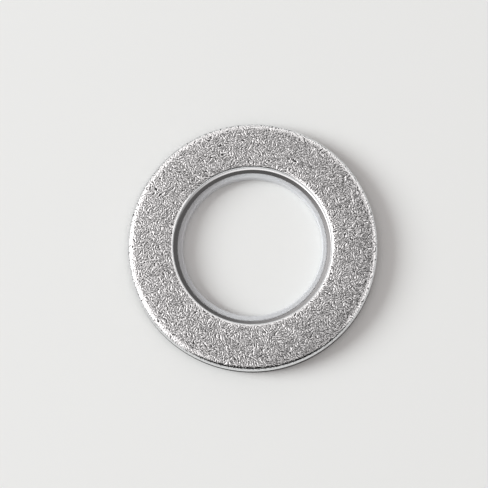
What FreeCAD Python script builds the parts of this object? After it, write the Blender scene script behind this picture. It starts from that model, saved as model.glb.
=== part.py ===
# A two-part snap eyelet for the heading of a curtain, lying on its back with its face up.
# The front ring has a broad, slightly crowned face, a rounded shoulder, a hollow ribbed underside
# and a collar that goes through the hole in the cloth. A white liner stands inside the collar, so
# that the eyelet slides quietly along its pole. The back ring has a circle of sprung tongues that
# catch on the ridges round the collar, and two rows of points that hold the cloth on either side
# of the front ring's clamping rib.
# Millimetres. +Z is the axis of the eyelet and points out of its face. The origin is on the
# axis, in the plane that the back ring rests on.
import FreeCAD, Part
from collections import namedtuple
import math
import os

# Overall
face_width = 12.35
overall_height = 6.0
front_wall = 1.2
back_plate = 1.2
seating_clearance = 0.05
lift_off_floor = 0.1

# Liner
liner_bore = 37.4
liner_wall = 1.1
liner_bead = 0.2
liner_bead_height = 0.35
liner_edge_bevel = 0.25
liner_foot_thickness = 0.7
liner_stop_ribs = 12
liner_stop_rib_width = 1.2
liner_stop_rib_clearance = 0.3

# Front ring
face_slope_degrees = 2.5
crown_rounding = 60.0
lip_rounding = 1.1
shoulder_rounding = 2.0
ledge_width = 1.15
ledge_height = 2.6
ledge_slope_degrees = 12.0
ledge_thickness = 0.6
collar_wall = 1.0
collar_lead_in = 0.25
skirt_edge_bevel = 0.2
inner_corner_bevel = 0.5
gussets = 24
gusset_thickness = 0.8
gusset_clearance = 0.5
clamping_rib_thickness = 0.8
clamping_rib_tip = 0.5
cloth_gap = 0.6

# Ratchet between the collar and the tongues
ridge_pitch = 0.6
ridge_height = 0.4
ridge_land = 0.15
snap_clearance = 0.05

# Back ring
rim_overhang = 0.15
rim_rise = 0.6
rim_width = 1.8
rim_draft = 0.2
rim_edge_bevel = 0.2
rim_foot_bevel = 0.9
plate_inner_bevel = 0.3
tongues = 24
tongue_reach = 2.0
tongue_rise = 1.0
tongue_tip_thickness = 0.45
tongue_tip_land = 0.35
tongue_root_width = 0.85
slot_width = 1.0
tooth_row_spacing = 3.4
teeth_per_row = 36
tooth_base = 1.2
tooth_tip = 0.15
tooth_height = 1.0

# How far a rib, gusset or tooth is let into the wall that carries it
let_in = 0.3

# The most of a wall that the softening of one of its corners takes
largest_share_of_wall = 0.49

# Radii, worked out from the hole outwards
liner_inner = liner_bore / 2
liner_outer = liner_inner + liner_wall
bead_outer = liner_outer + liner_bead
ledge_hole = liner_outer + seating_clearance
ledge_seat = bead_outer + seating_clearance
lip_radius = ledge_hole + ledge_width
foot_radius = lip_radius - seating_clearance
collar_outer = lip_radius + collar_wall
ridge_crest = collar_outer + ridge_height
tongue_tip = ridge_crest + snap_clearance
plate_inner = tongue_tip + tongue_reach
tongue_root = plate_inner + tongue_root_width
rim_radius = lip_radius + face_width
skirt_inner = rim_radius - front_wall
back_rim_radius = rim_radius + rim_overhang
back_rim_inner = back_rim_radius - rim_width
clamping_radius = (tongue_root + back_rim_inner) / 2
face_middle = (lip_radius + rim_radius) / 2

# Heights, worked out from the resting plane upwards
plate_top = back_plate
seam = plate_top + rim_rise
foot_top = lift_off_floor + liner_foot_thickness
ledge_underside = ledge_height - ledge_thickness
ledge_root = ledge_height + (lip_radius - ledge_seat) * math.tan(math.radians(ledge_slope_degrees))
bead_underside = ledge_height + seating_clearance
liner_top = bead_underside + liner_bead_height
tip_underside = plate_top + tongue_rise
tip_top = tip_underside + tongue_tip_thickness
top_ridge = tip_underside - snap_clearance
gusset_underside = tip_top + gusset_clearance
ceiling = overall_height - front_wall

# The face's two slopes meet above the crown that rounds them off, and end at its two edges.
face_slope = math.radians(face_slope_degrees)
face_ridge = overall_height + crown_rounding * (1 / math.cos(face_slope) - 1)
face_edge = face_ridge - (rim_radius - face_middle) * math.tan(face_slope)


# A corner of a section, which stays sharp or has either a rounding's radius or a bevel's depth.
Corner = namedtuple("Corner", "radius height rounding bevel", defaults=(0, 0))


def point(radius, height):
    """A point of a section, drawn in the XZ plane."""
    return FreeCAD.Vector(radius, 0, height)


def towards(start, end):
    """The unit vector from one point to another."""
    return (end - start).normalize()


def softened(before, here, after, corner):
    """Where a corner's two walls end, and the arc or bevel that joins them there.

    Rounding or bevel takes less than half of the shorter wall beside it.
    """
    back, ahead = towards(here, before), towards(here, after)
    half_angle = back.getAngle(ahead) / 2
    room = largest_share_of_wall * min(here.distanceToPoint(before), here.distanceToPoint(after))
    setback = min(corner.bevel + corner.rounding / math.tan(half_angle), room)
    entry, leave = here + back * setback, here + ahead * setback
    if setback == 0:
        return entry, leave, None
    if corner.rounding == 0:
        return entry, leave, Part.LineSegment(entry, leave)
    arc_radius = setback * math.tan(half_angle)
    centre = here + (back + ahead).normalize() * (arc_radius / math.sin(half_angle))
    middle = centre + towards(centre, here) * arc_radius
    return entry, leave, Part.Arc(entry, middle, leave)


def turned(corners):
    """The solid of revolution of a section, given by its corners, about the eyelet's axis."""
    spots = [point(corner.radius, corner.height) for corner in corners]
    after = spots[1:] + spots[:1]
    ends = [softened(spots[i - 1], spots[i], after[i], corners[i]) for i in range(len(corners))]
    edges = []
    for index, (_, leave, join) in enumerate(ends):
        if join is not None:
            edges.append(join.toShape())
        next_entry = ends[(index + 1) % len(ends)][0]
        edges.append(Part.LineSegment(leave, next_entry).toShape())
    section = Part.Face(Part.Wire(edges))
    return section.revolve(point(0, 0), FreeCAD.Vector(0, 0, 1), 360)


def around(shape, count, start=0.0):
    """Copies of a shape, evenly spaced about the axis."""
    copies = []
    for index in range(count):
        copy = shape.copy()
        copy.rotate(point(0, 0), FreeCAD.Vector(0, 0, 1), start + 360.0 * index / count)
        copies.append(copy)
    return copies


def radial_block(inner, outer, thickness, bottom, top):
    """A straight block that lies along +X, centred across it."""
    corner = FreeCAD.Vector(inner, -thickness / 2, bottom)
    return Part.makeBox(outer - inner, thickness, top - bottom, corner)


def one_solid(shape):
    """The single solid that an operation leaves, with its split faces joined."""
    return shape.removeSplitter().Solids[0]


def silent_liner():
    """White liner: a tube with a foot inside the collar, a snap bead and stop ribs.

    The bead springs over the ledge's inner edge, and the ribs stop under the ledge.
    """
    tube = turned([
        Corner(liner_inner, lift_off_floor, bevel=liner_edge_bevel),
        Corner(foot_radius, lift_off_floor),
        Corner(foot_radius, foot_top),
        Corner(liner_outer, foot_top),
        Corner(liner_outer, bead_underside),
        Corner(bead_outer, bead_underside),
        Corner(bead_outer, liner_top, bevel=liner_edge_bevel),
        Corner(liner_inner, liner_top, bevel=liner_edge_bevel),
    ])
    rib = radial_block(
        liner_outer - let_in, foot_radius - liner_stop_rib_clearance,
        liner_stop_rib_width, foot_top - let_in, ledge_underside - seating_clearance,
    )
    return one_solid(tube.fuse(around(rib, liner_stop_ribs)))


def collar_outside():
    """Corners down the outside of the collar: flat-topped ridges with a ramp below each.

    There are as many ridges as the collar has room for under the tongues.
    """
    room = top_ridge - lift_off_floor
    ridges = int(room / ridge_pitch)
    corners = []
    for index in range(ridges):
        crest = top_ridge - index * ridge_pitch
        corners += [
            Corner(collar_outer, crest),
            Corner(ridge_crest, crest),
            Corner(collar_outer, crest - ridge_pitch + ridge_land),
        ]
    return corners


def clamping_rib():
    """The ring under the face that presses the cloth down between the two rows of teeth."""
    half_root, half_tip = clamping_rib_thickness / 2, clamping_rib_tip / 2
    root, tip = ceiling + let_in, plate_top + cloth_gap
    return turned([
        Corner(clamping_radius - half_root, root),
        Corner(clamping_radius - half_tip, tip),
        Corner(clamping_radius + half_tip, tip),
        Corner(clamping_radius + half_root, root),
    ])


def gusset_ribs():
    """Radial ribs under the face, from the collar to the skirt, cut round to follow the skirt."""
    gusset = radial_block(
        collar_outer - let_in, rim_radius,
        gusset_thickness, gusset_underside, ceiling + let_in,
    )
    inside_skirt = Part.makeCylinder(skirt_inner + let_in, overall_height)
    return around(gusset.common(inside_skirt), gussets)


def front_ring():
    """Front ring: lip, face, shoulder and skirt in one wall, with the collar and its ledge.

    The ledge has a flat seat for the liner's bead and slopes up from there to the lip's wall.
    """
    body = turned([
        Corner(lip_radius, face_edge, rounding=lip_rounding),
        Corner(face_middle, face_ridge, rounding=crown_rounding),
        Corner(rim_radius, face_edge, rounding=shoulder_rounding),
        Corner(rim_radius, seam, bevel=skirt_edge_bevel),
        Corner(skirt_inner, seam),
        Corner(skirt_inner, ceiling, bevel=inner_corner_bevel),
        Corner(collar_outer, ceiling, bevel=inner_corner_bevel),
        *collar_outside(),
        Corner(collar_outer, lift_off_floor, bevel=collar_lead_in),
        Corner(lip_radius, lift_off_floor),
        Corner(lip_radius, ledge_underside),
        Corner(ledge_hole, ledge_underside),
        Corner(ledge_hole, ledge_height),
        Corner(ledge_seat, ledge_height),
        Corner(lip_radius, ledge_root),
    ])
    return one_solid(body.fuse([clamping_rib(), *gusset_ribs()]))


def tooth_row(radius, start):
    """One row of four-sided points round the plate."""
    flare = (tooth_base - tooth_tip) / tooth_height
    half_root, half_tip = (tooth_base + flare * let_in) / 2, tooth_tip / 2
    upright = FreeCAD.Rotation(FreeCAD.Vector(1, 0, 0), 90)
    tooth = Part.makeWedge(
        -half_root, 0, -half_root, -half_tip, -half_tip,
        half_root, tooth_height + let_in, half_root, half_tip, half_tip,
    )
    tooth.Placement = FreeCAD.Placement(point(radius, plate_top - let_in), upright)
    return around(tooth, teeth_per_row, start)


def tongue_slots():
    """The gaps between the tongues, round at their outer ends."""
    below, above = -plate_top, tip_top + plate_top
    end = plate_inner + tongue_root_width / 2
    slot = radial_block(collar_outer, end, slot_width, below, above)
    round_end = Part.makeCylinder(slot_width / 2, above - below, FreeCAD.Vector(end, 0, below))
    half_step = 180.0 / tongues
    return around(slot.fuse(round_end), tongues, half_step)


def back_ring():
    """Back ring: plate, raised rim, sprung tongues and the two rows of teeth.

    Its rim stands out a little past the front ring's skirt.
    """
    body = turned([
        Corner(plate_inner, 0, bevel=plate_inner_bevel),
        Corner(back_rim_radius, 0, bevel=rim_foot_bevel),
        Corner(back_rim_radius, seam, bevel=rim_edge_bevel),
        Corner(back_rim_inner, seam),
        Corner(back_rim_inner - rim_draft, plate_top),
        Corner(tongue_root, plate_top),
        Corner(tongue_tip + tongue_tip_land, tip_top),
        Corner(tongue_tip, tip_top),
        Corner(tongue_tip, tip_underside),
    ])
    half_step = 180.0 / teeth_per_row
    teeth = tooth_row(clamping_radius - tooth_row_spacing / 2, 0.0)
    teeth += tooth_row(clamping_radius + tooth_row_spacing / 2, half_step)
    return one_solid(body.cut(tongue_slots()).fuse(teeth))


def main():
    """Builds each piece and writes it under its own name."""
    os.makedirs("parts", exist_ok=True)
    pieces = {
        "front_ring": front_ring(),
        "silent_liner": silent_liner(),
        "back_ring": back_ring(),
    }
    for name, solid in pieces.items():
        solid.exportStep("parts/" + name + ".step")
        box = solid.BoundBox
        print(name, "valid", solid.isValid(), "volume", round(solid.Volume, 1),
              "height", round(box.ZMin, 3), "to", round(box.ZMax, 3))


main()
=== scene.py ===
import math
from collections import namedtuple

import bmesh
import bpy
from bpy.props import FloatProperty, FloatVectorProperty, IntProperty, PointerProperty
from mathutils import Matrix, Vector, noise


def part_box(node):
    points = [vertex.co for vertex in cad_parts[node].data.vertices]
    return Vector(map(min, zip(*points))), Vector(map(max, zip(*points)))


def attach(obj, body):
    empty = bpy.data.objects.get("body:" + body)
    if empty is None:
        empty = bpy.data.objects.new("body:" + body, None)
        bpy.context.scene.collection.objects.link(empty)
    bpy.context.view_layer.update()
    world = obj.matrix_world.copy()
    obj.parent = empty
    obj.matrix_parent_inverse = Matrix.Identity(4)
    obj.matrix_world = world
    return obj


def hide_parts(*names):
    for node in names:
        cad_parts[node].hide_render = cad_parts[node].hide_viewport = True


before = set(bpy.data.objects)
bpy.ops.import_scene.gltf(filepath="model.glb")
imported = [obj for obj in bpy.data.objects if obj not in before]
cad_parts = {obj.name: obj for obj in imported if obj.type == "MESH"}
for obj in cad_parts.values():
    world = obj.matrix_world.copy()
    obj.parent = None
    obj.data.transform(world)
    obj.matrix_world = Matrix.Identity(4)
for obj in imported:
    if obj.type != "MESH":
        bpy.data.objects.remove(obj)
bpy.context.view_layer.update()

bl_info = {
    "name": "Curtain eyelet",
    "version": (1, 0, 0),
    "blender": (4, 5, 0),
    "location": "View3D > Sidebar > Eyelet",
    "description": "Builds the crinkled front ring, finishes the liner and back ring, and sets the stage",
    "category": "Object",
}

MM = 0.001
FRONT_LOW, FRONT_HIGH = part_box("front_ring")

# Depth below the top in which the crinkle and its fine rows lie.
FACE_ZONE = 1.3 * MM

# Points closer than this are one, and edges that turn more than this stay sharp.
SEAM = 0.002 * MM
SHARP = math.radians(11)

# The front ring is built as one sector and copied round. A sector's outside has finer steps than
# its inside, and each rounding has steps of its own.
SECTORS = 24
FINE_STEPS = 40
PLAIN_STEPS = 10
SHOULDER_STEPS = 14
CROWN_STEPS = 4
LIP_STEPS = 12
BEVEL_STEPS = 1
CORNER_STEPS = 2

# How far outside and inside come in over the edge that they share, against the wall there.
OUTSIDE_LAP = 0.35
INSIDE_LAP = 0.3

# How far a rib is let into the wall that carries it.
LET_IN = 0.3 * MM

# The finer strokes of the crinkle, which the finish adds to the embossed ones.
FINE_DEPTH = 0.10 * MM
FINE_SHARE = 0.15
# Painted shade in the crinkle's hollows: the plating darkens to the hollow share of its colour up to the
# first share of the relief, and is full from the second.
DARK_UP_TO = 0.13
BRIGHT_FROM = 0.58
HOLLOW_PAINTED_SHADE = 0.06

FLOOR_WIDTH = 1.0
FLOOR_GAP = 0.01 * MM
SENSOR_WIDTH = 36
NEAREST_VIEW = 10 * MM
WINDOW_TINT = (0.97, 1.01, 1.01)
ROOM_TINT = (1.03, 0.99, 0.975)

# What the metal mirrors of the room. A zone begins, and is full, where a direction's share along
# its way reaches these values.
Zone = namedtuple("Zone", "way begins full")
WINDOW = Zone((-0.85, 0, 0.53), 0.72, 0.97)
OVERHEAD = Zone((0.17, 0.07, 0.97), 0.70, 0.92)
VIEWER = Zone((0.17, -0.98, 0), 0.58, 0.74)
ABOVE_VIEWER = Zone((0, 0, 1), 0.58, 0.76)


def length(label, text, default):
    """A size in metres that a user may change."""
    return FloatProperty(name=label, description=text, default=default, unit="LENGTH", precision=5)


def angle(label, text, default):
    """An angle that a user may change, given in degrees."""
    return FloatProperty(
        name=label, description=text, default=math.radians(default), subtype="ANGLE")


def tint(label, text, default):
    """A colour that a user may change."""
    return FloatVectorProperty(
        name=label, description=text, default=default, size=3, min=0, max=1, subtype="COLOR")


def share(label, text, default):
    """A share between nothing and all."""
    return FloatProperty(name=label, description=text, default=default, min=0, max=1, subtype="FACTOR")


def level(label, text, default):
    """A brightness from nothing up."""
    return FloatProperty(name=label, description=text, default=default, min=0)


class EyeletFrontSizes(bpy.types.PropertyGroup):
    """Sizes of the front ring, as its maker would give them."""

    lip_radius: length("Lip radius", "Radius of the hole at the lip", 21.0 * MM)
    lip_rounding: length("Lip rounding", "Radius of the rounding at the lip", 1.1 * MM)
    shoulder_rounding: length("Shoulder rounding", "Radius of the outer shoulder", 2.0 * MM)
    face_drop: length("Face drop", "Fall of the face from its crown to either edge", 0.213 * MM)
    wall: length("Wall", "Thickness of the moulded wall", 1.2 * MM)
    seam_height: length("Seam height", "Height of the skirt's lower edge", 1.8 * MM)
    ledge_hole: length("Ledge hole", "Radius of the hole in the ledge", 19.85 * MM)
    ledge_height: length("Ledge height", "Height of the ledge's flat seat", 2.6 * MM)
    ledge_seat: length("Ledge seat", "Radius at which the ledge starts to rise", 20.05 * MM)
    ledge_slope: angle("Ledge slope", "Slope of the ledge from its seat to the wall", 12)
    ledge_thickness: length("Ledge thickness", "Thickness of the ledge", 0.6 * MM)
    collar_wall: length("Collar wall", "Thickness of the collar", 1.0 * MM)
    ridge_height: length("Ridge height", "How far the collar's ridges stand out", 0.4 * MM)
    ridge_pitch: length("Ridge pitch", "Distance from one ridge to the next", 0.6 * MM)
    ridge_land: length("Ridge land", "Plain collar between two ridges", 0.15 * MM)
    top_ridge: length("Top ridge", "Height of the highest ridge", 2.15 * MM)
    ridges: IntProperty(name="Ridges", description="Ridges round the collar", default=3, min=1)
    clamping_radius: length("Clamping radius", "Radius of the clamping rib", 28.5 * MM)
    clamping_height: length("Clamping height", "Height of the clamping rib's tip", 1.8 * MM)
    clamping_root: length("Clamping root", "Thickness of the clamping rib at its root", 0.8 * MM)
    clamping_tip: length("Clamping tip", "Thickness of the clamping rib at its tip", 0.5 * MM)
    gussets: IntProperty(name="Gussets", description="Radial ribs under the face", default=24, min=1)
    gusset_thickness: length("Gusset thickness", "Thickness of a gusset", 0.8 * MM)
    gusset_height: length("Gusset height", "Height of a gusset's lower edge", 3.15 * MM)


class EyeletCrinkle(bpy.types.PropertyGroup):
    """The crinkle that is embossed in the face: short strokes, side by side in small patches."""

    row_width: length("Row width", "Width of a row of the face's mesh", 0.16 * MM)
    depth: length("Depth", "Depth of the crinkle", 0.18 * MM)
    patch: length("Patch", "Typical width of a patch", 1.6 * MM)
    stroke_spacing: length("Stroke spacing", "Distance from one stroke to the next", 0.5 * MM)
    stroke_length: length("Stroke length", "Typical length of a stroke", 0.5 * MM)
    smooth_from: angle("Smooth from", "Lean of shoulder and lip at which the crinkle has gone", 39)
    full_until: angle("Full until", "Lean of shoulder and lip up to which the crinkle is full", 27)
    faint_until: angle("Faint until", "Lean of the shoulder at which its faint crinkle ends", 64)
    faint_share: share("Faint share", "Depth of the faint crinkle against the full one", 0.22)
    seed: IntProperty(name="Seed", description="Draws the wander of the patches", default=7, min=1)


class EyeletColours(bpy.types.PropertyGroup):
    """Colours and gloss of the three pieces and the floor."""

    plating: tint("Plating", "Bright metal coat of the front ring", (0.8, 0.808, 0.818))
    liner: tint("Liner", "White plastic of the liner", (0.62, 0.63, 0.65))
    # Near-black: partly the back ring's own dark plastic, partly painted shade, darkened further so that
    # its rim draws the dark line of the seam.
    back: tint("Back", "Dark grey plastic of the back ring", (0.03, 0.031, 0.032))
    floor: tint("Floor", "Plain pale floor", (0.81, 0.81, 0.805))
    polish: share("Polish", "Roughness of the polished shoulder and lip", 0.09)
    crinkle_gloss: share("Crinkle gloss", "Roughness of the crinkled face", 0.3)


class EyeletStageSizes(bpy.types.PropertyGroup):
    """The camera, the lamp and the room."""

    distance: length("Distance", "From the camera to the floor along its view", 300 * MM)
    view_width: length("View width", "Width of floor that the picture takes in", 131.85 * MM)
    tilt: angle("Tilt", "Camera's lean from straight above", 9.5)
    bearing: angle("Bearing", "Side on which the camera stands, from +X towards +Y", 280)
    aim_x: length("Aim across", "Floor point in the picture's middle, across", -2.3 * MM)
    aim_y: length("Aim up", "Floor point in the picture's middle, up", 1.1 * MM)
    key_power: level("Key power", "Power of the window lamp", 114)
    key_size: length("Key size", "Width of the window lamp", 1900 * MM)
    key_distance: length("Key distance", "From the lamp to the eyelet", 3500 * MM)
    key_height: angle("Key height", "Elevation of the window lamp", 32)
    key_bearing: angle("Key bearing", "Side on which the lamp stands, from +X towards +Y", 175)
    backdrop: level("Backdrop", "Brightness of the plain wall that the camera sees", 0.75)
    ambient: level("Ambient", "Brightness of the even light from all round", 0.53)
    room: level("Room", "Brightness of the room that the metal mirrors", 1.29)
    window: level("Window", "What the window's patch adds to the mirrored room", 1.4)
    overhead_dark: share("Overhead dark", "How much the mirrored room darkens overhead", 0.92)
    viewer_dark: share("Viewer dark", "How much it darkens low down on the viewer's side", 0.98)


class Shade:
    """The node tree of a material or the world, in which sockets are joined by ordinary sums."""

    def __init__(self, owner):
        owner.use_nodes = True
        self.tree = owner.node_tree
        self.tree.nodes.clear()

    def node(self, kind, settings=None, **links):
        """Adds a node. Settings are set first, then sockets by name (underscores for spaces)."""
        made = self.tree.nodes.new(kind)
        for key, value in (settings or {}).items():
            setattr(made, key, value)
        for key, value in links.items():
            self.put(made, key, value)
        return made

    def put(self, made, key, value):
        """Links or sets one input, found by its name or, as i0 or i1, by its place."""
        if key[0] == "i" and key[1:].isdigit():
            socket = made.inputs[int(key[1:])]
        else:
            socket = made.inputs[key.replace("_", " ")]
        if isinstance(value, Maths):
            value = value.socket
        if isinstance(value, bpy.types.NodeSocket):
            self.tree.links.new(value, socket)
        elif hasattr(value, "__len__") and socket.type == "RGBA" and len(value) == 3:
            socket.default_value = (*value, 1)
        else:
            socket.default_value = value

    def maths(self, made, output=0):
        """A node's output, ready for sums."""
        return Maths(self, made.outputs[output])


class Maths:
    """A socket with a number on it. Sums on it add Math nodes."""

    def __init__(self, shade, socket):
        self.shade = shade
        self.socket = socket

    def operate(self, operation, first, second):
        """The result of a Math node with two inputs."""
        made = self.shade.node("ShaderNodeMath", {"operation": operation}, i0=first, i1=second)
        return Maths(self.shade, made.outputs[0])

    def __add__(self, other):
        return self.operate("ADD", self, other)

    def __radd__(self, other):
        return self.operate("ADD", other, self)

    def __rsub__(self, other):
        return self.operate("SUBTRACT", other, self)

    def __mul__(self, other):
        return self.operate("MULTIPLY", self, other)

    def between(self, low, high):
        """0 at low, 1 at high, smooth and held outside them."""
        made = self.shade.node(
            "ShaderNodeMapRange", {"interpolation_type": "SMOOTHSTEP", "clamp": True},
            i0=self, i1=low, i2=high)
        return Maths(self.shade, made.outputs[0])


def new_material(name):
    """An empty material with its shade helper and its place on the object, in millimetres."""
    material = bpy.data.materials.new(name)
    shade = Shade(material)
    place = shade.node("ShaderNodeTexCoord").outputs["Object"]
    in_mm = shade.node(
        "ShaderNodeVectorMath", {"operation": "SCALE"}, Vector=place, Scale=1 / MM).outputs[0]
    return material, shade, in_mm


def finish_material(shade, **sockets):
    """The principled surface with its output."""
    surface = shade.node("ShaderNodeBsdfPrincipled", **sockets)
    shade.node("ShaderNodeOutputMaterial", Surface=surface.outputs[0])


def noise_node(shade, place, waves, detail):
    """A noise texture with that many waves in a millimetre."""
    return shade.node(
        "ShaderNodeTexNoise", {"noise_dimensions": "3D"}, Vector=place, Scale=waves, Detail=detail)


def noise_at(shade, place, waves, detail):
    """Smooth noise from 0 to 1, ready for sums."""
    return shade.maths(noise_node(shade, place, waves, detail), "Fac")


def kept_on_mesh(shade, name):
    """A number that the mesh keeps at each point."""
    return shade.maths(shade.node("ShaderNodeAttribute", {"attribute_name": name}), "Fac")


def stretch(shade, place, factors):
    """A place with its three parts multiplied."""
    made = shade.node("ShaderNodeVectorMath", {"operation": "MULTIPLY"}, i0=place, i1=factors)
    return made.outputs[0]


def shaded(shade, factor, colour, darkest):
    """A colour that is full where the factor is 1, and darkened to that share where it is 0."""
    dark = [part * darkest for part in colour]
    made = shade.node("ShaderNodeMix", {"data_type": "RGBA"}, i0=factor, i6=dark, i7=colour)
    return made.outputs[2]


def plating_material(colours, crinkle):
    """Bright metal coat: crinkled on the face, polished on shoulder, lip, ledge and skirt. Its colour
    carries painted shade in the crinkle's hollows.
    """
    material, shade, place = new_material("crinkled_plating")
    relief = kept_on_mesh(shade, "crinkle_height")
    on_face = kept_on_mesh(shade, "crinkle_share")

    # Finer strokes lie side by side in small patches, each patch turned its own way.
    wander_waves, wander_reach, patches_in_mm = 1.2, 0.7, 0.8
    across = 2.5 * MM / crinkle.stroke_spacing
    along = 1.3 * MM / crinkle.stroke_length
    wander = noise_node(shade, place, wander_waves, 1.0)
    moved = shade.node(
        "ShaderNodeVectorMath", {"operation": "MULTIPLY_ADD"},
        i0=wander.outputs["Color"], i1=(wander_reach, wander_reach, 0.0), i2=place).outputs[0]
    patches = shade.node(
        "ShaderNodeTexVoronoi", {"voronoi_dimensions": "2D"}, Vector=moved, Scale=patches_in_mm)
    chance = shade.node("ShaderNodeSeparateColor", Color=patches.outputs["Color"])
    turned = shade.node(
        "ShaderNodeVectorRotate", {"rotation_type": "Z_AXIS"},
        Vector=moved, Angle=shade.maths(chance, 0) * math.pi)
    strokes = noise_at(shade, stretch(shade, turned.outputs[0], (across, along, 1.0)), 1.0, 0.0)
    bump = shade.node(
        "ShaderNodeBump", Strength=1.0, Distance=FINE_DEPTH, Height=strokes * on_face)

    # Painted shade: the plating's colour is darkened in the crinkle's hollows, up to a low share of the
    # relief, and is full above a middle share.
    stroke_foot, stroke_top, marked_from, dull_from, dull_at = 0.32, 0.68, 0.15, 0.25, 0.85
    fine = strokes.between(stroke_foot, stroke_top)
    pattern = relief * (1 - FINE_SHARE) + fine * FINE_SHARE
    marked = on_face.between(0, marked_from)
    light = marked * pattern.between(DARK_UP_TO, BRIGHT_FROM) + (1 - marked)
    tone = shaded(shade, light, colours.plating, HOLLOW_PAINTED_SHADE)
    dulled = on_face.between(dull_from, dull_at)
    rough = colours.polish + dulled * (colours.crinkle_gloss - colours.polish)
    finish_material(
        shade, Base_Color=tone, Metallic=1.0, Roughness=rough, Normal=bump.outputs[0])
    return material


def liner_material(colours):
    """White, slightly translucent plastic with faint draw marks along the bore."""
    material, shade, place = new_material("white_liner")
    cloud_waves, mark_waves, mark_depth, darkest = 0.25, (2.5, 2.5, 0.15), 0.05 * MM, 0.95
    cloud = noise_at(shade, place, cloud_waves, 2.0)
    marks = noise_at(shade, stretch(shade, place, mark_waves), 1.0, 2.0)
    bump = shade.node("ShaderNodeBump", Strength=0.35, Distance=mark_depth, Height=marks)
    tone = shaded(shade, cloud, colours.liner, darkest)
    finish_material(
        shade, Base_Color=tone, Roughness=0.34 + marks * 0.12, Subsurface_Weight=0.35,
        Subsurface_Radius=(1.0, 1.0, 1.05), Subsurface_Scale=1.2 * MM, IOR=1.5,
        Normal=bump.outputs[0])
    return material


def back_material(colours):
    """Satin near-black plastic with the fine grain of its mould. Its darkness is partly the plastic's own
    colour and partly painted shade of the seam under the skirt.
    """
    material, shade, place = new_material("satin_back")
    grain_waves, flow_waves, grain_depth, darkest = 4.0, 0.12, 0.03 * MM, 0.9
    grain = noise_at(shade, place, grain_waves, 3.0)
    flow = noise_at(shade, place, flow_waves, 2.0)
    bump = shade.node("ShaderNodeBump", Strength=0.4, Distance=grain_depth, Height=grain)
    tone = shaded(shade, flow, colours.back, darkest)
    finish_material(
        shade, Base_Color=tone, Roughness=0.42 + grain * 0.16, IOR=1.4, Normal=bump.outputs[0])
    return material


def finish_node(name, material):
    """Gives a piece of the frame its finish."""
    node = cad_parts[name]
    node.data.materials.clear()
    node.data.materials.append(material)


def add_chain(bm, corners, closed=False):
    """A line in the XZ plane through (radius, height, setback, steps) corners.

    A corner with a setback is rounded by a bevel that starts that far along its two walls.
    """
    verts = [bm.verts.new((radius, 0, height)) for radius, height, _, _ in corners]
    ends = verts[1:] + verts[:1] if closed else verts[1:]
    for start, end in zip(verts, ends):
        bm.edges.new((start, end))
    for vert, (_, _, setback, steps) in zip(verts, corners):
        if setback:
            bmesh.ops.bevel(
                bm, geom=[vert], offset=setback, offset_type="OFFSET", affect="VERTICES",
                segments=steps, profile=0.5, material=-1)


def spin_sector(bm, steps):
    """Turns the lines that have no face yet through one sector."""
    lines = [edge for edge in bm.edges if edge.is_wire]
    ends = list({vert for edge in lines for vert in edge.verts})
    bmesh.ops.spin(
        bm, geom=ends + lines, cent=(0, 0, 0), axis=(0, 0, 1),
        angle=2 * math.pi / SECTORS, steps=steps)


def copy_sector(bm):
    """Copies the finished sector all the way round and merges the copies."""
    bmesh.ops.spin(
        bm, geom=bm.verts[:] + bm.edges[:] + bm.faces[:], cent=(0, 0, 0), axis=(0, 0, 1),
        angle=2 * math.pi * (SECTORS - 1) / SECTORS, steps=SECTORS - 1, use_duplicate=True)
    bmesh.ops.remove_doubles(bm, verts=bm.verts[:], dist=SEAM)
    bmesh.ops.recalc_face_normals(bm, faces=bm.faces[:])


def arc_at(bm, corner):
    """The edges that lie on the circle of a corner."""
    spot = Vector(corner[:2])
    return [
        edge for edge in bm.edges
        if all((Vector((vert.co.xy.length, vert.co.z)) - spot).length < SEAM for vert in edge.verts)]


def divide_face(bm, row_width):
    """Divides the edges that draw the face, so that the crinkle has fine rows to stand in."""
    for edge in bm.edges[:]:
        if min(vert.co.z for vert in edge.verts) > FRONT_HIGH.z - FACE_ZONE:
            cuts = round(edge.calc_length() / row_width) - 1
            if cuts > 0:
                bmesh.ops.subdivide_edges(bm, edges=[edge], cuts=cuts)


def outside_corners(sizes):
    """From the skirt's lower edge over shoulder, face and lip, down to the ledge's inner edge."""
    top, rim = FRONT_HIGH.z, FRONT_HIGH.x
    edge = top - sizes.face_drop
    middle = (sizes.lip_radius + rim) / 2
    ledge_rise = (sizes.lip_radius - sizes.ledge_seat) * math.tan(sizes.ledge_slope)
    skirt_bevel, crown = 0.2 * MM, 2.5 * MM
    return [
        (rim - sizes.wall * OUTSIDE_LAP, sizes.seam_height, 0, 0),
        (rim, sizes.seam_height, skirt_bevel, BEVEL_STEPS),
        (rim, edge, sizes.shoulder_rounding, SHOULDER_STEPS),
        (middle, top, crown, CROWN_STEPS),
        (sizes.lip_radius, edge, sizes.lip_rounding, LIP_STEPS),
        (sizes.lip_radius, sizes.ledge_height + ledge_rise, 0, 0),
        (sizes.ledge_seat, sizes.ledge_height, 0, 0),
        (sizes.ledge_hole, sizes.ledge_height, 0, 0),
        (sizes.ledge_hole, sizes.ledge_height - sizes.ledge_thickness * OUTSIDE_LAP, 0, 0),
    ]


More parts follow.
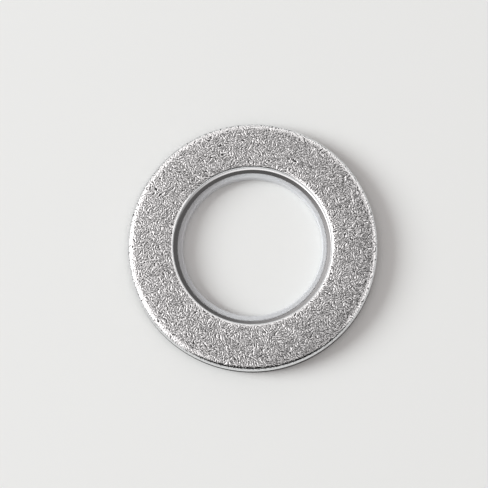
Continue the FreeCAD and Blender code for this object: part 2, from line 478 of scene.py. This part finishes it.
def inside_corners(sizes):
    """From the ledge's underside down the collar, over its ridges and through the hollow."""
    low, ceiling = FRONT_LOW.z, FRONT_HIGH.z - sizes.wall
    skirt_inside = FRONT_HIGH.x - sizes.wall
    collar = sizes.lip_radius + sizes.collar_wall
    crest = collar + sizes.ridge_height
    ledge_bottom = sizes.ledge_height - sizes.ledge_thickness
    inner_bevel, lead_in = 0.5 * MM, 0.25 * MM
    corners = [
        (sizes.ledge_hole, ledge_bottom + sizes.ledge_thickness * INSIDE_LAP, 0, 0),
        (sizes.ledge_hole, ledge_bottom, 0, 0),
        (sizes.lip_radius, ledge_bottom, 0, 0),
        (sizes.lip_radius, low, 0, 0),
        (collar, low, lead_in, BEVEL_STEPS),
    ]
    for ridge in reversed(range(sizes.ridges)):
        height = sizes.top_ridge - ridge * sizes.ridge_pitch
        corners += [
            (collar, height - sizes.ridge_pitch + sizes.ridge_land, 0, 0),
            (crest, height, 0, 0),
            (collar, height, 0, 0),
        ]
    return corners + [
        (collar, ceiling, inner_bevel, CORNER_STEPS),
        (skirt_inside, ceiling, inner_bevel, CORNER_STEPS),
        (skirt_inside, sizes.seam_height, 0, 0),
        (skirt_inside + sizes.wall * INSIDE_LAP, sizes.seam_height, 0, 0),
    ]


def front_shell(sizes, row_width):
    """Outside and inside of the front ring, joined at the skirt's edge and the ledge's edge."""
    bm = bmesh.new()
    outside, inside = outside_corners(sizes), inside_corners(sizes)
    add_chain(bm, outside)
    divide_face(bm, row_width)
    spin_sector(bm, FINE_STEPS)
    add_chain(bm, inside)
    spin_sector(bm, PLAIN_STEPS)
    for fine_end, plain_end in ((outside[0], inside[-1]), (outside[-1], inside[0])):
        bmesh.ops.bridge_loops(bm, edges=arc_at(bm, fine_end) + arc_at(bm, plain_end))
    copy_sector(bm)
    return bm


def stroke_height(place, turn, crinkle):
    """One patch's strokes, from -1 to 1, at a place measured from the patch's middle.

    They lie side by side, and break up where noise shifts them. Each turn draws its own noise.
    """
    shift_reach, shift_waves, turn_spread = 0.5, 0.7, 9
    across = (place.x * math.cos(turn) + place.y * math.sin(turn)) / crinkle.stroke_spacing
    along = (place.y * math.cos(turn) - place.x * math.sin(turn)) / crinkle.stroke_length
    shift = shift_reach * noise.noise(Vector((across * shift_waves, along, turn * turn_spread)))
    return math.sin(2 * math.pi * (across + shift))


def crinkle_height(place, crinkle):
    """Height of the crinkle from 0 to 1. Patches blend where they meet."""
    warp_waves, warp_reach, blend_width, spread = 1.3, 0.35, 0.25, 50
    warp = noise.noise_vector(place / crinkle.patch * warp_waves) * crinkle.patch * warp_reach
    spot = Vector((place.x + warp.x, place.y + warp.y, 0)) / crinkle.patch
    distances, middles = noise.voronoi(spot)
    blend = 0.5 * smooth_step(distances[1] - distances[0], 0, blend_width)
    height = 0
    for middle, share_of_patch in ((middles[0], 0.5 + blend), (middles[1], 0.5 - blend)):
        turn = (noise.cell(middle * spread) + 1) * math.pi
        height += share_of_patch * stroke_height((spot - middle) * crinkle.patch, turn, crinkle)
    return 0.5 + 0.5 * height


def smooth_step(value, low, high):
    """0 at low, 1 at high and smooth between them."""
    share_of_way = min(max((value - low) / (high - low), 0), 1)
    return share_of_way * share_of_way * (3 - 2 * share_of_way)


def emboss(bm, crinkle):
    """Sinks the crinkle into the face, fading out down the lip and the shoulder.

    On the shoulder, where the surface faces away from the axis, a faint share of it goes on.
    Its height and its share of the surface are kept for the finish.
    """
    heights = bm.verts.layers.float.new("crinkle_height")
    shares = bm.verts.layers.float.new("crinkle_share")
    bm.normal_update()
    noise.seed_set(crinkle.seed)
    smooth_lean, full_lean = math.cos(crinkle.smooth_from), math.cos(crinkle.full_until)
    faint_lean = math.cos(crinkle.faint_until)
    places = []
    for vert in bm.verts:
        on_top = vert.co.z > FRONT_HIGH.z - FACE_ZONE
        share_here = smooth_step(vert.normal.z, smooth_lean, full_lean) if on_top else 0
        if on_top and vert.co.xy.dot(vert.normal.xy) > 0:
            faint = crinkle.faint_share * smooth_step(vert.normal.z, faint_lean, smooth_lean)
            share_here = max(share_here, faint)
        height = crinkle_height(vert.co, crinkle) if share_here > 0 else 1
        vert[heights] = height
        vert[shares] = share_here
        places.append(vert.co - vert.normal * (share_here * (1 - height) * crinkle.depth))
    for vert, place in zip(bm.verts, places):
        vert.co = place


def add_clamping_rib(sizes):
    """The ring under the face that presses the cloth down."""
    root = FRONT_HIGH.z - sizes.wall + LET_IN
    half_root, half_tip = sizes.clamping_root / 2, sizes.clamping_tip / 2
    corners = [
        (sizes.clamping_radius - half_root, root, 0, 0),
        (sizes.clamping_radius - half_tip, sizes.clamping_height, 0, 0),
        (sizes.clamping_radius + half_tip, sizes.clamping_height, 0, 0),
        (sizes.clamping_radius + half_root, root, 0, 0),
    ]
    bm = bmesh.new()
    add_chain(bm, corners, closed=True)
    spin_sector(bm, PLAIN_STEPS)
    copy_sector(bm)
    return bm


def add_gussets(sizes):
    """Radial ribs under the face, from the collar to the skirt."""
    bm = bmesh.new()
    inner = sizes.lip_radius + sizes.collar_wall - LET_IN
    outer = FRONT_HIGH.x - sizes.wall + LET_IN
    bottom, top = sizes.gusset_height, FRONT_HIGH.z - sizes.wall + LET_IN
    middle = Vector(((inner + outer) / 2, 0, (bottom + top) / 2))
    size = (outer - inner, sizes.gusset_thickness, top - bottom)
    for index in range(sizes.gussets):
        turn = Matrix.Rotation(2 * math.pi * index / sizes.gussets, 4, "Z")
        place = turn @ Matrix.Translation(middle) @ Matrix.Diagonal((*size, 1))
        bmesh.ops.create_cube(bm, size=1, matrix=place)
    return bm


def new_piece(name, meshes, material):
    """One object from several bmeshes, smooth except at real edges outside the crinkle."""
    mesh = bpy.data.meshes.new(name)
    whole = bmesh.new()
    for part in meshes:
        for face in part.faces:
            face.smooth = True
        for edge in part.edges:
            below_face = max(vert.co.z for vert in edge.verts) < FRONT_HIGH.z - FACE_ZONE
            if below_face and edge.is_manifold and edge.calc_face_angle() > SHARP:
                edge.smooth = False
        part.to_mesh(mesh)
        part.free()
        whole.from_mesh(mesh)
    whole.to_mesh(mesh)
    whole.free()
    piece = bpy.data.objects.new(name, mesh)
    bpy.context.scene.collection.objects.link(piece)
    mesh.materials.append(material)
    return piece


class EYELET_OT_front_ring(bpy.types.Operator):
    """Build the front ring with its embossed face"""

    bl_idname = "eyelet.front_ring"
    bl_label = "Front ring"

    def execute(self, context):
        scene = context.scene
        sizes, crinkle = scene.eyelet_front, scene.eyelet_crinkle
        body = front_shell(sizes, crinkle.row_width)
        emboss(body, crinkle)
        parts = [body, add_clamping_rib(sizes), add_gussets(sizes)]
        material = plating_material(scene.eyelet_colours, crinkle)
        piece = new_piece("front_ring_embossed", parts, material)
        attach(piece, "front")
        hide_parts("front_ring")
        return {"FINISHED"}


class EYELET_OT_liner(bpy.types.Operator):
    """Finish the liner as white, slightly translucent plastic"""

    bl_idname = "eyelet.liner"
    bl_label = "Liner"

    def execute(self, context):
        finish_node("silent_liner", liner_material(context.scene.eyelet_colours))
        return {"FINISHED"}


class EYELET_OT_back_ring(bpy.types.Operator):
    """Finish the back ring as satin moulded plastic"""

    bl_idname = "eyelet.back_ring"
    bl_label = "Back ring"

    def execute(self, context):
        finish_node("back_ring", back_material(context.scene.eyelet_colours))
        return {"FINISHED"}


def add_floor(colours):
    """A plain pale floor just under the eyelet, clear from below so that the back can be seen."""
    bm = bmesh.new()
    bmesh.ops.create_grid(bm, x_segments=1, y_segments=1, size=FLOOR_WIDTH / 2)
    bmesh.ops.translate(bm, vec=(0, 0, -FLOOR_GAP), verts=bm.verts)
    mesh = bpy.data.meshes.new("floor")
    bm.to_mesh(mesh)
    bm.free()
    floor = bpy.data.objects.new("floor", mesh)
    bpy.context.scene.collection.objects.link(floor)
    material = bpy.data.materials.new("pale_floor")
    shade = Shade(material)
    matt = shade.node(
        "ShaderNodeBsdfPrincipled", Base_Color=colours.floor, Roughness=0.9,
        Specular_IOR_Level=0.15)
    clear = shade.node("ShaderNodeBsdfTransparent")
    from_below = shade.node("ShaderNodeNewGeometry").outputs["Backfacing"]
    surface = shade.node(
        "ShaderNodeMixShader", i0=from_below, i1=matt.outputs[0], i2=clear.outputs[0])
    shade.node("ShaderNodeOutputMaterial", Surface=surface.outputs[0])
    mesh.materials.append(material)


def aim(thing, target):
    """Turns a lamp or camera towards a point, with the picture's top towards +Y."""
    forward = (target - thing.location).normalized()
    right = forward.cross(Vector((0, 1, 0))).normalized()
    up = right.cross(forward)
    thing.matrix_world = Matrix.Translation(thing.location) @ Matrix(
        (right, up, -forward)).transposed().to_4x4()


def direction(bearing, elevation):
    """The way from the origin at a bearing from +X towards +Y and an elevation."""
    flat = math.cos(elevation)
    return Vector((flat * math.cos(bearing), flat * math.sin(bearing), math.sin(elevation)))


def add_camera(stage):
    """The camera at the photograph's angle and framing."""
    target = Vector((stage.aim_x, stage.aim_y, 0))
    offset = direction(stage.bearing, math.pi / 2 - stage.tilt)
    data = bpy.data.cameras.new("camera")
    data.sensor_width = SENSOR_WIDTH
    data.lens = SENSOR_WIDTH * stage.distance / stage.view_width
    data.clip_start = NEAREST_VIEW
    camera = bpy.data.objects.new("camera", data)
    camera.location = target + offset * stage.distance
    bpy.context.scene.collection.objects.link(camera)
    aim(camera, target)
    bpy.context.scene.camera = camera


def add_key(stage):
    """A soft window lamp on the left. The metal mirrors the room's window in its place."""
    data = bpy.data.lights.new("window", "AREA")
    data.shape = "DISK"
    data.size = stage.key_size
    data.energy = stage.key_power
    data.color = WINDOW_TINT
    lamp = bpy.data.objects.new("window", data)
    lamp.location = direction(stage.key_bearing, stage.key_height) * stage.key_distance
    bpy.context.scene.collection.objects.link(lamp)
    aim(lamp, Vector((0, 0, 0)))
    lamp.visible_glossy = False


def add_world(stage):
    """An even pale light all round.

    Metal mirrors a room in its place, with a bright patch at the window and dark zones overhead
    and low down on the viewer's side. The camera itself sees a plain pale wall.
    """
    world = bpy.data.worlds.new("room")
    bpy.context.scene.world = world
    shade = Shade(world)
    where = shade.node("ShaderNodeTexCoord").outputs["Generated"]

    def inside(zone):
        """1 in the zone and 0 away from it."""
        along = shade.node(
            "ShaderNodeVectorMath", {"operation": "DOT_PRODUCT"}, i0=where, i1=zone.way)
        return shade.maths(along, "Value").between(zone.begins, zone.full)

    viewer = inside(VIEWER) * (1 - inside(ABOVE_VIEWER))
    bright = stage.room + inside(WINDOW) * stage.window
    room = bright * (1 - inside(OVERHEAD) * stage.overhead_dark) * (1 - viewer * stage.viewer_dark)
    ray = shade.node("ShaderNodeLightPath")
    seen = shade.maths(ray, "Is Camera Ray")
    mirrored = shade.maths(ray, "Is Glossy Ray")
    plain = seen * stage.backdrop + (1 - seen) * stage.ambient
    strength = mirrored * room + (1 - mirrored) * plain
    background = shade.node("ShaderNodeBackground", Color=ROOM_TINT, Strength=strength)
    shade.node("ShaderNodeOutputWorld", Surface=background.outputs[0])


class EYELET_OT_stage(bpy.types.Operator):
    """Set up the floor, the camera, the lamp and the room"""

    bl_idname = "eyelet.stage"
    bl_label = "Stage"

    def execute(self, context):
        scene = context.scene
        add_floor(scene.eyelet_colours)
        add_camera(scene.eyelet_stage)
        add_key(scene.eyelet_stage)
        add_world(scene.eyelet_stage)
        scene.view_settings.view_transform = "Standard"
        return {"FINISHED"}


class EYELET_PT_panel(bpy.types.Panel):
    """The eyelet's steps and sizes"""

    bl_label = "Curtain eyelet"
    bl_idname = "EYELET_PT_panel"
    bl_space_type = "VIEW_3D"
    bl_region_type = "UI"
    bl_category = "Eyelet"

    def draw(self, context):
        for operator in OPERATORS:
            self.layout.operator(operator.bl_idname)
        for group in GROUPS:
            settings = getattr(context.scene, group)
            box = self.layout.box()
            for name in settings.bl_rna.properties.keys():
                if name not in {"rna_type", "name"}:
                    box.prop(settings, name)


GROUPS = {
    "eyelet_front": EyeletFrontSizes,
    "eyelet_crinkle": EyeletCrinkle,
    "eyelet_colours": EyeletColours,
    "eyelet_stage": EyeletStageSizes,
}
OPERATORS = (EYELET_OT_front_ring, EYELET_OT_liner, EYELET_OT_back_ring, EYELET_OT_stage)
CLASSES = (*GROUPS.values(), *OPERATORS, EYELET_PT_panel)


def register():
    """Adds the classes, and the settings to the scene."""
    for each in CLASSES:
        bpy.utils.register_class(each)
    for name, group in GROUPS.items():
        setattr(bpy.types.Scene, name, PointerProperty(type=group))


def unregister():
    """Takes away what register added."""
    for name in GROUPS:
        delattr(bpy.types.Scene, name)
    for each in reversed(CLASSES):
        bpy.utils.unregister_class(each)


def main():
    """Builds the pieces and the stage in order."""
    register()
    bpy.ops.eyelet.front_ring()
    bpy.ops.eyelet.liner()
    bpy.ops.eyelet.back_ring()
    bpy.ops.eyelet.stage()


if __name__ == "__main__":
    main()
